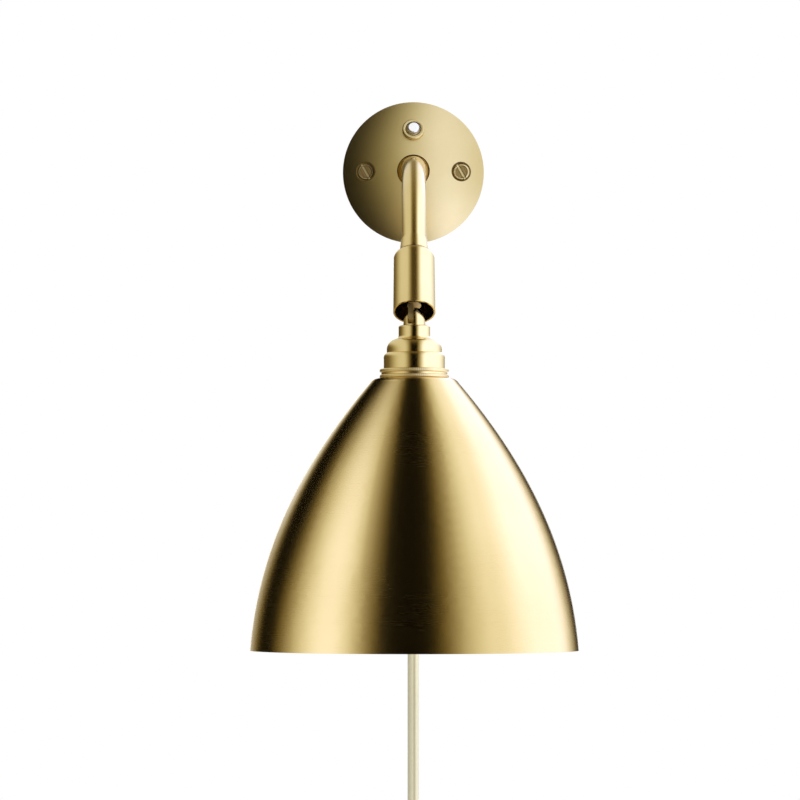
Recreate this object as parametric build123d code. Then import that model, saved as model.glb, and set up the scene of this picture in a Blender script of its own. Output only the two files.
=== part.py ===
from build123d import *
import math
import os

# Wall light with a bell shade on a knuckle joint, in millimetres.
# The wall is the plane y = 0, the light reaches out towards -Y, and +Z is up.
# The origin is the middle of the rose on the wall.

# ---- clearances ----
RUN = 0.05  # radial clearance of a pin or shaft that turns in its bore
SLIDE = 0.09  # radial clearance of the push button in its neck
GAP = 0.3  # between curved faces that don't touch
SEAT = 0.1  # play round a piece in its socket

# ---- rose on the wall ----
rose_radius = 37.0
rose_height = 17.0
rose_lip = 1.2  # straight part of the rim
rose_wall = 1.1
arm_hole_radius = 8.5
plate_radius = 33.0
plate_thickness = 2.0
screw_point = 0.5  # height of the screws' ends above the wall
wall_hole_offset = 18.0  # of each wall screw hole, sideways and up
wall_hole_radius = 2.3
cover_screw_offset = 25.0
cover_head_radius = 4.3
cover_head_height = 2.6
cover_head_rounding = 0.8
cover_shank_radius = 1.95
cup_radius = 5.1  # of the round recess that each cover screw sits in
cup_wall = 1.0
cup_floor = 6.5  # height of the recess's floor above the wall
slot_width = 1.2
slot_depth = 1.0
slot_angle = -60.0

# ---- switch in the rose ----
switch_height = 21.5
switch_neck_radius = 3.95
switch_body_radius = 4.9
switch_body_length = 7.2
button_radius = 3.03
button_travel = 1.2
button_proud = 1.6  # above its ring nut
button_bottom = -2.5  # from the dome's face
button_rounding = 0.7
bezel_radius = 5.75
bezel_height = 1.9
bezel_rounding = 0.6

# ---- terminal block on the wall plate, lower left of the arm ----
terminal_depth = 7.0
terminal_width = 9.0
terminal_height = 5.2
terminal_bore = 1.2
terminal_angle = 212.0
terminal_offset = 21.5

# ---- arm and sleeve ----
tube_radius = 6.1
tube_wall = 1.2
foot_radius = 14.0
foot_flange = 2.5
foot_hub_radius = 8.4
foot_hub_height = 8.0
foot_screw_circle = 11.4
foot_screw_radius = 1.25
foot_head_radius = 2.4
foot_head_height = 1.5
pivot_reach = 136.0  # of the tilt pivot from the wall
pivot_drop = 79.0  # of the tilt pivot below the rose's middle
sleeve_tilt = 32.8  # of the sleeve from plumb, its mouth away from the wall
sleeve_length = 34.4
sleeve_mouth_radius = 10.35
sleeve_top_radius = 10.1
sleeve_wall = 1.0
sleeve_shoulder = 3.0
sleeve_end = 2.6  # thickness of the sleeve's closed end
mouth_above_pivot = 3.2
ferrule_length = 8.2
ferrule_lip = 1.2  # height of the foot, and of the lip above it
ferrule_top_radius = 6.5
ferrule_lip_radius = 7.1
ferrule_foot_radius = 6.9
arm_nut_radius = 8.2
arm_nut_height = 3.0
arm_into_sleeve = 6.4

# ---- swivel in the sleeve ----
stud_radius = 3.35
stud_face = 3.6  # depth of the stud's round face inside the mouth
seat_depth = 13.0  # of the swivel seat's lower face inside the mouth
seat_height = 7.0
collar_radius = 6.0
collar_height = 2.0
clip_radius = 5.6
clip_height = 1.6
groove_depth = 0.6  # of the clip's groove in the stud
tongue_thickness = 2.6
tongue_width = 5.2
tongue_offset = -1.7  # sideways place of the tongue and the fork's slot
tongue_end_radius = 3.1

# ---- fork on the holder cap ----
shade_lean = 2.6  # of the shade's axis from plumb, its mouth away from the wall
cap_below_pivot = 4.0
fork_radius = 5.35
fork_rise = 9.1
fork_stem_radius = 4.4
fork_stem_length = 7.2
fork_nut_radius = 6.3
fork_nut_height = 3.0
pivot_radius = 1.3
pivot_half_length = 4.1
pivot_rounding = 0.3

# ---- holder cap, rings and lampholder: radii, and heights below the cap's top ----
cap_wall = 0.9
cap_neck_radius = 7.7
cap_neck_height = 4.9
cap_shoulder_radius = 13.5
cap_shoulder_bottom = 13.3
cap_skirt_radius = 14.95
cap_skirt_top = 16.5
cap_height = 21.2
cap_cove = 1.6  # radius of the hollow curve under the neck
cap_step = 1.6  # height of the shoulder's plain edge
cap_slant = 0.6  # drop of the inner face's steps, as a share of the wall
cap_rounding = 0.9
ring_radius = 16.9
ring_groove_radius = 16.1
ring_ridge = 1.9
ring_gap = 0.9
ring_rounding = 0.7
holder_thread_radius = 13.6
holder_top = 9.5
holder_thread_bottom = 47.0
holder_skirt_radius = 12.6
holder_bottom = 57.0
holder_bore_radius = 8.6
holder_neck_radius = 9.5
holder_neck_height = 6.5
holder_well = 25.0  # depth of the holder's bore
inner_ring_radius = 17.0
inner_ring_height = 4.0

# ---- shade: radii, and heights below the cap's top ----
shade_wall = 0.9
shade_hole_clearance = 0.25
shade_shoulder_radius = 21.6
shade_shoulder_rounding = 3.6
shade_start = 28.0
shade_rim_radius = 80.0
shade_bottom = 158.5
shade_start_angle = 40.5  # of the wall from the axis, at the shoulder
shade_rim_angle = 4.5  # of the wall from the axis, at the rim
shade_start_handle = 48.0
shade_rim_handle = 52.0

# ---- lamp ----
bulb_radius = 22.5
bulb_length = 78.0  # from the contact to the end of the glass
bulb_cap_radius = 6.9
bulb_cap_length = 20.0
bulb_neck_radius = 8.2
bulb_neck_angle = 48.0  # round the bulb from its widest place, where the neck begins
bulb_neck_handle = 4.7
bulb_tip_radius = 2.4
bulb_tip_height = 2.2
bulb_wall = 0.8
bulb_seat_gap = 5.5  # between the holder's inner floor and the bulb's contact
shell_wall = 0.5
shell_inset = 3.0  # of the screw shell's end from the holder's mouth
contact_radius = 3.0
contact_thickness = 1.2
contact_stem_radius = 1.2

# ---- lead ----
cord_diameter = 6.0
cord_gap = 0.6  # between neighbouring turns, and between the gland and the wall
gland_wall = 1.4
gland_tip_wall = 0.5
gland_radius = cord_diameter / 2 + gland_wall
gland_tip_radius = cord_diameter / 2 + gland_tip_wall
cord_off_wall = gland_radius + cord_gap
gland_straight_end = -38.0
gland_end = -64.0
gland_above_clamp = 2.4
clamp_width = 3.6
clamp_thickness = 1.0
clamp_foot_offset = gland_radius + 3.8
clamp_foot_length = 5.0
drop_last_run = 31.0  # of the hanging stretch's route, slanting to the coil
coil_centre_z = -404.0
coil_outer_radius = 47.3
coil_pitch = cord_diameter + cord_gap  # from turn to turn, and from layer to layer
coil_start_angle = 135.0
half_turns_in = 7
half_turns_out = 6
coil_end_straight = 2 * cord_diameter  # down to the plug, clear of the turns behind it
tie_width = 10.0
tie_thickness = 1.2
plug_width = 35.0
plug_thickness = 13.7
plug_length = 34.0
plug_back_width = 11.5
plug_back_thickness = 10.8
plug_rounding = 5.2
plug_relief_length = 26.0
plug_relief_root = cord_diameter / 2 + 1.6
plug_relief_tip = cord_diameter / 2 + GAP
pin_radius = 2.0
pin_length = 19.0
pin_rounding = 1.2
pin_spacing = 18.6

os.makedirs("parts", exist_ok=True)
STANDING = (Align.CENTER, Align.CENTER, Align.MIN)

# Local axes: the rose's pieces are drawn on the wall plane and turned to stand out of it.
ON_WALL = Rot(90, 0, 0)
PIVOT = Pos(0, -pivot_reach, -pivot_drop)
IN_SLEEVE = PIVOT * Rot(-sleeve_tilt, 0, 0)
ON_SHADE = PIVOT * Rot(-shade_lean, 0, 0)


def save(name, shape):
    solids = shape.solids()
    whole = solids[0] if len(solids) == 1 else Compound(children=solids)
    export_step(whole, f"parts/{name}.step")


def turned(points):
    """A solid of revolution about Z, from the corners of its half section in (radius, height)."""
    outline = Polyline(*[(r, 0, z) for r, z in points], close=True)
    return revolve(make_face(outline), Axis.Z)


def rod(radius, bottom, top):
    return Pos(0, 0, bottom) * Cylinder(radius, top - bottom, align=STANDING)


def ring(outer, inner, bottom, top):
    return rod(outer, bottom, top) - rod(inner, bottom - 1, top + 1)


def widest_edges(shape):
    """The circles of the largest radius on a turned piece."""
    return shape.edges().filter_by(GeomType.CIRCLE).group_by(SortBy.RADIUS)[-1]


def block(x_size, y_size, bottom, top):
    return Pos(0, 0, bottom) * Box(x_size, y_size, top - bottom, align=STANDING)


# ---- rose ----
dome_rise = rose_height - rose_lip
dome_radius = (rose_radius**2 + dome_rise**2) / (2 * dome_rise)
dome_centre = rose_height - dome_radius
# The clamp over the lead's gland stands as far out under the dome as its height allows.
clamp_top = cord_off_wall + gland_radius + SEAT + clamp_thickness
clamp_reach = math.sqrt((dome_radius - rose_wall) ** 2 - (clamp_top + GAP - dome_centre) ** 2)
clamp_place = clamp_width / 2 - clamp_reach
gland_top = clamp_place + gland_above_clamp


def dome_height(distance, inset=0.0):
    """Height above the wall of the dome's face, or of a face that lies inset from it."""
    return dome_centre + math.sqrt((dome_radius - inset) ** 2 - distance**2)


def dome_body(inset, bottom):
    """The solid dome that a face lying inset from the rose's outside closes."""
    edge = rose_radius - inset
    crown = rose_height - inset
    lip = dome_height(edge, inset)
    halfway = edge / 2
    side = Polyline((0, 0, crown), (0, 0, bottom), (edge, 0, bottom), (edge, 0, lip))
    curve = ThreePointArc((edge, 0, lip), (halfway, 0, dome_height(halfway, inset)), (0, 0, crown))
    return revolve(make_face(side + curve), Axis.Z)


def switch_place():
    """Local axes on the dome's face above the arm, with Z square to the face."""
    slope = math.degrees(math.asin(switch_height / dome_radius))
    return Pos(0, switch_height, dome_height(switch_height)) * Rot(-slope, 0, 0)


def make_rose():
    outside = dome_body(0, 0)
    shell = outside - dome_body(rose_wall, -1)
    for side in (-1, 1):
        at = Pos(side * cover_screw_offset, 0, 0)
        cup = at * rod(cup_radius + cup_wall, cup_floor - cup_wall, rose_height)
        recess = at * rod(cup_radius, cup_floor, rose_height)
        shank_hole = at * rod(cover_shank_radius + SEAT, 0, rose_height)
        shell = shell + (cup & outside) - recess - shank_hole
    shell = shell - rod(arm_hole_radius, 0, rose_height + 1)
    shell = shell - switch_place() * rod(switch_neck_radius + SEAT, -5, 5)
    notch_radius = gland_radius + GAP
    notch = Pos(0, -rose_radius, cord_off_wall) * Rot(90, 0, 0) * Cylinder(notch_radius, rose_radius)
    mouth = Pos(0, -rose_radius, 0) * block(2 * notch_radius, rose_radius, -1, cord_off_wall)
    save("rose_cover", ON_WALL * (shell - notch - mouth))


def make_cover_screws():
    head_top = cup_floor + cover_head_height
    shank = rod(cover_shank_radius, screw_point, cup_floor)
    head = rod(cover_head_radius, cup_floor, head_top)
    head = fillet(head.edges().sort_by(Axis.Z)[-1], cover_head_rounding)
    slot = block(2 * cover_head_radius + 1, slot_width, head_top - slot_depth, rose_height)
    screw = shank + head - Rot(0, 0, slot_angle) * slot
    pair = [Pos(side * cover_screw_offset, 0, 0) * screw for side in (-1, 1)]
    save("cover_screws", ON_WALL * Compound(children=[s.solid() for s in pair]))


def make_wall_plate():
    plate = rod(plate_radius, 0, plate_thickness)
    pillar = rod(2 * cover_shank_radius, 0, cup_floor - cup_wall - GAP)
    bore = rod(cover_shank_radius + RUN, -1, rose_height)
    for side in (-1, 1):
        at = Pos(side * cover_screw_offset, 0, 0)
        plate = plate + at * pillar - at * bore
        plate = plate - Pos(side * wall_hole_offset, wall_hole_offset, 0) * rod(wall_hole_radius, -1, 5)
    notch = Pos(0, gland_top - rose_radius / 2 + SEAT) * block(2 * (gland_radius + GAP), rose_radius, -1, 5)
    plate = plate - notch
    for place in foot_screw_places():
        plate = plate - place * rod(foot_screw_radius + RUN, -1, 5)
    for place in clamp_screw_places():
        plate = plate - place * rod(foot_screw_radius + RUN, -1, 5)
    save("wall_plate", ON_WALL * plate)


def foot_screw_places():
    return [Rot(0, 0, 90 + 120 * k) * Pos(foot_screw_circle, 0, 0) for k in range(3)]


def pan_screw(bottom, seat):
    """A small round-headed screw along Z, with its head's underside at seat."""
    head = rod(foot_head_radius, seat, seat + foot_head_height)
    head = fillet(head.edges().sort_by(Axis.Z)[-1], foot_head_height / 2)
    return rod(foot_screw_radius, bottom, seat) + head


def make_arm_foot():
    top = plate_thickness + foot_hub_height
    socket = plate_thickness + foot_flange
    foot = rod(foot_radius, plate_thickness, socket)
    foot = foot + rod(foot_hub_radius, plate_thickness, top)
    foot = foot - rod(tube_radius + RUN, socket, top + 1) - rod(tube_radius - tube_wall, 0, top)
    for place in foot_screw_places():
        foot = foot - place * rod(foot_screw_radius + RUN, 0, top)
    save("arm_foot", ON_WALL * foot)
    screws = [place * pan_screw(screw_point, socket) for place in foot_screw_places()]
    save("foot_screws", ON_WALL * Compound(children=[s.solid() for s in screws]))


def make_switch():
    neck_top = bezel_height - SEAT
    inner_face = -rose_wall - GAP
    body = rod(switch_body_radius, inner_face - switch_body_length, inner_face)
    body = body + rod(switch_neck_radius, inner_face, neck_top)
    well = button_bottom - button_travel - GAP
    body = body - rod(button_radius + SLIDE, well, neck_top + 1)
    save("switch_body", ON_WALL * switch_place() * body)
    nut = ring(bezel_radius, switch_neck_radius + RUN, -SEAT, bezel_height)
    nut = fillet(nut.edges().sort_by(Axis.Z)[-2:], bezel_rounding)
    save("switch_ring", ON_WALL * switch_place() * nut)
    button = rod(button_radius, button_bottom, bezel_height + button_proud)
    button = fillet(button.edges().sort_by(Axis.Z)[-1], button_rounding)
    save("push_button", ON_WALL * switch_place() * button)


def make_terminal_block():
    top = plate_thickness + terminal_height
    body = fillet(block(terminal_depth, terminal_width, plate_thickness, top).edges().filter_by(Axis.Z), 1)
    for side in (-1, 1):
        way = Pos(0, side * terminal_width / 4, 0) * rod(terminal_bore, plate_thickness + 2, top + 1)
        body = body - way
    save("terminal_block", ON_WALL * Rot(0, 0, terminal_angle) * Pos(terminal_offset, 0, 0) * body)


# ---- gland, clamp ----
def clamp_screw_places():
    return [Pos(side * clamp_foot_offset, clamp_place, 0) for side in (-1, 1)]


def make_gland():
    gland = turned([
        (0, gland_top), (gland_radius, gland_top), (gland_radius, gland_straight_end),
        (gland_tip_radius, gland_end), (0, gland_end),
    ])
    save("cord_gland", Pos(0, -cord_off_wall, 0) * gland)


def make_clamp():
    """A strap over the gland, with a foot on each side of it."""
    inner = gland_radius + SEAT
    outer = inner + clamp_thickness
    foot_bottom = plate_thickness - cord_off_wall
    foot_top = foot_bottom + clamp_thickness
    arch = Rot(90, 0, 0) * Cylinder(outer, clamp_width)
    hollow = Rot(90, 0, 0) * Cylinder(inner, clamp_width + 2)
    legs = block(2 * outer, clamp_width, foot_bottom, 0)
    feet = block(2 * clamp_foot_offset + clamp_foot_length, clamp_width, foot_bottom, foot_top)
    strap = arch - block(3 * outer, clamp_width + 2, -2 * outer, 0) + legs + feet
    strap = strap - hollow - block(2 * inner, clamp_width + 2, -2 * outer, 0)
    strap = Pos(0, clamp_place, cord_off_wall) * strap
    for place in clamp_screw_places():
        strap = strap - place * rod(foot_screw_radius + RUN, 0, rose_height)
    save("cord_clamp", ON_WALL * strap)
    under_head = plate_thickness + clamp_thickness
    screws = [place * pan_screw(screw_point, under_head) for place in clamp_screw_places()]
    save("clamp_screws", ON_WALL * Compound(children=[s.solid() for s in screws]))


# ---- arm ----
sleeve_top = mouth_above_pivot + sleeve_length
sleeve_lean = math.radians(sleeve_tilt)


def on_sleeve_axis(distance):
    """A point on the sleeve's axis, this far up from the pivot."""
    y = -pivot_reach + distance * math.sin(sleeve_lean)
    z = -pivot_drop + distance * math.cos(sleeve_lean)
    return Vector(0, y, z)


def arm_path():
    """The tube's centreline: level out of the rose, one bend, and straight down the sleeve's axis."""
    bend_end = on_sleeve_axis(sleeve_top + ferrule_length)
    turn = math.pi / 2 - sleeve_lean
    radius = -bend_end.Z / (1 - math.cos(turn))
    bend_start = Vector(0, bend_end.Y + radius * math.sin(turn), 0)
    half = turn / 2
    middle = bend_start + Vector(0, -radius * math.sin(half), -radius * (1 - math.cos(half)))
    tube_start = Vector(0, -(plate_thickness + foot_flange), 0)
    tube_end = on_sleeve_axis(sleeve_top - arm_into_sleeve)
    print(f"arm bend radius {radius:.1f}")
    return Wire([
        Edge.make_line(tube_start, bend_start),
        Edge.make_three_point_arc(bend_start, middle, bend_end),
        Edge.make_line(bend_end, tube_end),
    ])


def make_arm():
    path = arm_path()
    start = Plane(origin=path @ 0, z_dir=path % 0)
    tube = sweep(start * Circle(tube_radius), path) - sweep(start * Circle(tube_radius - tube_wall), path)
    save("arm_tube", tube)
    top = sleeve_top + ferrule_length
    bore = tube_radius + RUN
    foot_top = sleeve_top + ferrule_lip
    ferrule = turned([
        (bore, sleeve_top), (ferrule_foot_radius, sleeve_top), (ferrule_foot_radius, foot_top),
        (ferrule_lip_radius, foot_top), (ferrule_lip_radius, foot_top + ferrule_lip),
        (ferrule_top_radius, top), (bore, top),
    ])
    save("arm_ferrule", IN_SLEEVE * ferrule)
    nut_top = sleeve_top - sleeve_end
    nut = ring(arm_nut_radius, tube_radius + RUN, nut_top - arm_nut_height, nut_top)
    save("arm_nut", IN_SLEEVE * nut)


def sleeve_bore(height):
    """The sleeve's inner radius this far up from the pivot; its sides taper a little."""
    share = (height - mouth_above_pivot) / sleeve_length
    return sleeve_mouth_radius + (sleeve_top_radius - sleeve_mouth_radius) * share - sleeve_wall


def make_sleeve():
    body = turned([
        (0, mouth_above_pivot), (sleeve_mouth_radius, mouth_above_pivot),
        (sleeve_top_radius, sleeve_top), (0, sleeve_top),
    ])
    body = fillet(body.edges().filter_by(GeomType.CIRCLE).sort_by(Axis.Z)[-1], sleeve_shoulder)
    below = mouth_above_pivot - 1
    floor = sleeve_top - sleeve_end
    hollow = turned([(0, below), (sleeve_bore(below), below), (sleeve_bore(floor), floor), (0, floor)])
    sleeve = body - hollow - rod(tube_radius + RUN, sleeve_top - 2 * sleeve_end, sleeve_top + 1)
    save("joint_sleeve", IN_SLEEVE * sleeve)


# ---- swivel ----
seat_bottom = mouth_above_pivot + seat_depth
seat_top = seat_bottom + seat_height


def make_swivel():
    seat = ring(sleeve_bore(seat_top) - RUN, stud_radius + RUN, seat_bottom, seat_top)
    save("swivel_seat", IN_SLEEVE * seat)
    stud_bottom = mouth_above_pivot + stud_face
    stud_top = seat_top + 2 * GAP + clip_height
    stud = rod(stud_radius, stud_bottom, stud_top)
    stud = stud + rod(collar_radius, seat_bottom - GAP - collar_height, seat_bottom - GAP)
    tongue = Pos(tongue_offset, 0, 0) * block(tongue_thickness, tongue_width, 0, stud_bottom + 1)
    eye = Pos(tongue_offset, 0, 0) * Rot(0, 90, 0) * Cylinder(tongue_end_radius, tongue_thickness)
    hole = Rot(0, 90, 0) * Cylinder(pivot_radius + RUN, 4 * fork_radius)
    stud = stud + tongue + eye - hole
    groove_bottom = seat_top + GAP
    groove_radius = stud_radius - groove_depth
    stud = stud - ring(stud_radius + 1, groove_radius, groove_bottom, groove_bottom + clip_height)
    save("swivel_stud", IN_SLEEVE * stud)
    clip = ring(clip_radius, groove_radius + RUN, groove_bottom + RUN, groove_bottom + clip_height - RUN)
    save("swivel_clip", IN_SLEEVE * clip)


# ---- fork ----
cap_top = -cap_below_pivot


def make_fork():
    foot = (fork_radius, 0, cap_top)
    halfway = (fork_radius * math.sqrt(0.5), 0, cap_top + fork_rise * math.sqrt(0.5))
    crown = (0, 0, cap_top + fork_rise)
    arch = Spline(foot, halfway, crown, tangents=((0, 0, 1), (-1, 0, 0)))
    fork = revolve(make_face(Polyline(crown, (0, 0, cap_top), foot) + arch), Axis.Z)
    gape = tongue_thickness + 2 * GAP
    slot_floor = -tongue_end_radius - GAP
    slot = Pos(tongue_offset, 0, 0) * block(gape, 3 * fork_radius, slot_floor, fork_rise)
    stem = rod(fork_stem_radius, cap_top - fork_stem_length, cap_top)
    hole = Rot(0, 90, 0) * Cylinder(pivot_radius + RUN, 4 * fork_radius)
    save("fork", ON_SHADE * (fork + stem - slot - hole))
    pin = Rot(0, 90, 0) * Cylinder(pivot_radius, 2 * pivot_half_length)
    save("pivot_pin", ON_SHADE * fillet(pin.edges().filter_by(GeomType.CIRCLE), pivot_rounding))
    nut_top = cap_top - cap_wall
    nut = ring(fork_nut_radius, fork_stem_radius + RUN, nut_top - fork_nut_height, nut_top)
    save("fork_nut", ON_SHADE * nut)


# ---- holder cap ----
def cap_corner(radius, below_top, inset):
    """A point of the cap's half section, or of its inner face, which lies inset from it."""
    return Vector(radius - inset, 0, cap_top - below_top - cap_slant * inset)


def cap_body(inset, bottom):
    """The solid stepped cap, from its neck to its skirt."""
    neck = cap_corner(cap_neck_radius, cap_neck_height, inset)
    cove_middle = neck + Vector((1 - math.sqrt(0.5)) * cap_cove, 0, -math.sqrt(0.5) * cap_cove)
    cove_end = neck + Vector(cap_cove, 0, -cap_cove)
    step = cap_corner(cap_shoulder_radius, cap_shoulder_bottom, inset)
    swell_end = step + Vector(0, 0, cap_step)
    skirt = cap_corner(cap_skirt_radius, cap_skirt_top, inset)
    outline = ThreePointArc(neck, cove_middle, cove_end)
    outline = outline + TangentArc(cove_end, swell_end, tangent=(1, 0, -0.25))
    outline = outline + Line(swell_end, step)
    outline = outline + TangentArc(step, skirt, tangent=(1, 0, -0.55))
    top = cap_top - inset
    foot = (skirt.X, 0, bottom)
    rest = Polyline(skirt, foot, (0, 0, bottom), (0, 0, top), (neck.X, 0, top), neck)
    return revolve(make_face(outline + rest), Axis.Z)


def make_cap():
    bottom = cap_top - cap_height
    cap = cap_body(0, bottom) - cap_body(cap_wall, bottom - 1)
    cap = cap - rod(fork_stem_radius + RUN, cap_top - 2, cap_top + 1)
    rim = cap.edges().filter_by(GeomType.CIRCLE).group_by(Axis.Z)[-1].sort_by(SortBy.RADIUS)[-1]
    save("holder_cap", ON_SHADE * fillet(rim, cap_rounding))


ring_top = cap_top - cap_height - SEAT
rings_bottom = ring_top - 2 * ring_ridge - ring_gap


def make_rings():
    """Two fine rings: the holder's own flange above, the shade ring below it."""
    inner = holder_thread_radius + RUN
    upper = ring(ring_radius, inner, ring_top - ring_ridge, ring_top)
    upper = fillet(widest_edges(upper), ring_rounding)
    lower_top = ring_top - ring_ridge
    lower = ring(ring_radius, inner, rings_bottom, rings_bottom + ring_ridge)
    lower = fillet(widest_edges(lower), ring_rounding)
    lower = lower + ring(ring_groove_radius, inner, rings_bottom, lower_top)
    save("holder_ring", ON_SHADE * upper)
    save("shade_ring", ON_SHADE * lower)


# ---- shade ----
shade_top_face = rings_bottom


def shade_curve(inset):
    """The bell's curve from its shoulder to its rim; inset gives the inside."""
    start_angle = math.radians(shade_start_angle)
    rim_angle = math.radians(shade_rim_angle)
    start_way = Vector(math.sin(start_angle), 0, -math.cos(start_angle))
    rim_way = Vector(math.sin(rim_angle), 0, -math.cos(rim_angle))
    inwards = Vector(-math.cos(start_angle), 0, -math.sin(start_angle))
    start = Vector(shade_shoulder_radius, 0, cap_top - shade_start) + inwards * inset
    rim = Vector(shade_rim_radius - inset, 0, cap_top - shade_bottom)
    return Bezier(start, start + start_way * shade_start_handle, rim - rim_way * shade_rim_handle, rim)


def shade_body(inset, bottom):
    """The solid bell that a face lying inset from the shade's outside closes."""
    curve = shade_curve(inset)
    start = curve @ 0
    rim = curve @ 1
    top = shade_top_face - inset
    flat = (start.X - shade_shoulder_rounding, 0, top)
    shoulder = TangentArc(flat, start, tangent=(1, 0, 0))
    axis = Polyline((rim.X, 0, bottom), (0, 0, bottom), (0, 0, top), flat)
    bell = revolve(make_face(shoulder + curve + Line(rim, (rim.X, 0, bottom)) + axis), Axis.Z)
    return bell


def make_shade():
    rim = cap_top - shade_bottom
    shade = shade_body(0, rim - 1) - shade_body(shade_wall, rim - 2)
    shade = shade - block(3 * shade_rim_radius, 3 * shade_rim_radius, rim - 3, rim)
    shade = shade - rod(holder_thread_radius + shade_hole_clearance, shade_top_face - 3, shade_top_face + 1)
    save("shade", ON_SHADE * shade)
    top = shade_top_face - shade_wall
    lower = ring(inner_ring_radius, holder_thread_radius + RUN, top - inner_ring_height, top)
    lower = fillet(widest_edges(lower), ring_rounding)
    save("inner_ring", ON_SHADE * lower)


# ---- lampholder and bulb ----
holder_floor = cap_top - holder_bottom + holder_well


def make_holder():
    top = cap_top - holder_top
    thread_end = cap_top - holder_thread_bottom
    bottom = cap_top - holder_bottom
    body = turned([
        (0, top), (holder_neck_radius, top), (holder_thread_radius, top - holder_neck_height),
        (holder_thread_radius, thread_end), (holder_skirt_radius, thread_end - 1),
        (holder_skirt_radius, bottom), (holder_bore_radius, bottom),
        (holder_bore_radius, holder_floor), (0, holder_floor),
    ])
    save("lampholder", ON_SHADE * body)
    shell_outer = holder_bore_radius - GAP
    shell = ring(shell_outer, shell_outer - shell_wall, bottom + shell_inset, holder_floor - GAP)
    save("screw_shell", ON_SHADE * shell)
    stem = rod(contact_stem_radius, holder_floor - bulb_seat_gap + GAP, holder_floor)
    contact = rod(contact_radius, holder_floor - contact_thickness, holder_floor) + stem
    save("centre_contact", ON_SHADE * contact)


def bulb_form(cap_end, glass_end, inset):
    """A round bulb with a drawn-in neck; inset gives the inside."""
    radius = bulb_radius - inset
    neck_radius = bulb_neck_radius - inset
    middle = glass_end + bulb_radius
    angle = math.radians(bulb_neck_angle)
    meeting = Vector(radius * math.cos(angle), 0, middle + radius * math.sin(angle))
    way = Vector(-math.sin(angle), 0, math.cos(angle)) * bulb_neck_handle
    belly = ThreePointArc(meeting, (radius, 0, middle), (0, 0, middle - radius))
    start = (neck_radius, 0, cap_end)
    neck = Bezier(start, (neck_radius, 0, cap_end - 2 * bulb_neck_handle), meeting + way, meeting)
    rest = Polyline((0, 0, middle - radius), (0, 0, cap_end), start)
    return revolve(make_face(neck + belly + rest), Axis.Z)


def make_bulb():
    contact = holder_floor - bulb_seat_gap
    cap_end = contact - bulb_cap_length
    glass_end = contact - bulb_length
    shoulder = contact - bulb_tip_height
    cap = turned([
        (0, contact), (bulb_tip_radius, contact), (bulb_cap_radius, shoulder),
        (bulb_cap_radius, cap_end), (0, cap_end),
    ])
    save("bulb_cap", ON_SHADE * cap)
    glass = bulb_form(cap_end, glass_end, 0) - bulb_form(cap_end, glass_end, bulb_wall)
    save("bulb_glass", ON_SHADE * glass)


# ---- lead ----
front_layer = -cord_off_wall - coil_pitch
back_layer = -cord_off_wall
start_turn = math.radians(coil_start_angle)
# The coil lies so far aside that the stretch above it hangs straight under the gland.
coil_centre_x = -coil_outer_radius * math.cos(start_turn)
coil_centre_x -= (cord_diameter + drop_last_run) * math.sin(start_turn)


def around(centre, radius, angle, layer):
    turn = math.radians(angle)
    return Vector(centre.X + radius * math.cos(turn), layer, centre.Z + radius * math.sin(turn))


def arc_round(centre, radius, angle, sweep_angle, layer):
    """An arc of the coil, anticlockwise as seen from the room."""
    points = [around(centre, radius, angle + sweep_angle * share, layer) for share in (0, 0.5, 1)]
    return Edge.make_three_point_arc(*points)


def heading(angle):
    turn = math.radians(angle)
    return Vector(-math.sin(turn), 0, math.cos(turn))


def coil_path():
    """Half turns that wind in beside the wall, climb a layer, and wind out again in front."""
    step = coil_pitch / 2
    centre = Vector(coil_centre_x, 0, coil_centre_z)
    angle = coil_start_angle
    radius = coil_outer_radius
    entry = around(centre, radius, angle, back_layer)
    edges = [Edge.make_line(entry - heading(angle) * cord_diameter, entry)]
    for _ in range(half_turns_in):
        edges.append(arc_round(centre, radius, angle, 180, back_layer))
        angle += 180
        centre = centre + (around(centre, step, angle, 0) - around(centre, 0, angle, 0))
        radius -= step
    start = around(centre, radius, angle, back_layer)
    angle += 180
    finish = around(centre, radius, angle, front_layer)
    reach = (finish - start).length / 2
    middle = (start + finish) / 2 + heading(angle - 180) * reach
    edges.append(Edge.make_tangent_arc(start, heading(angle - 180), middle))
    way = edges[-1] % 1
    edges.append(Edge.make_tangent_arc(middle, way, finish))
    for _ in range(half_turns_out):
        radius += step
        centre = centre - (around(centre, step, angle, 0) - around(centre, 0, angle, 0))
        edges.append(arc_round(centre, radius, angle, 180, front_layer))
        angle += 180
    last = 180 - angle % 360
    radius += step
    centre = centre - (around(centre, step, angle, 0) - around(centre, 0, angle, 0))
    edges.append(arc_round(centre, radius, angle, last, front_layer))
    end = around(centre, radius, 180, front_layer)
    edges.append(Edge.make_line(end, end + Vector(0, 0, -coil_end_straight)))
    return edges


def least_gap(edges):
    """The least distance between two stretches of the tube's skin, on points 3 mm apart."""
    points = []
    for edge in edges:
        count = max(2, math.ceil(edge.length / 3))
        points += [edge @ (k / count) for k in range(count)]
    apart = 8
    nearest = min((a - b).length for i, a in enumerate(points) for b in points[i + apart:])
    return nearest - cord_diameter


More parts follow.
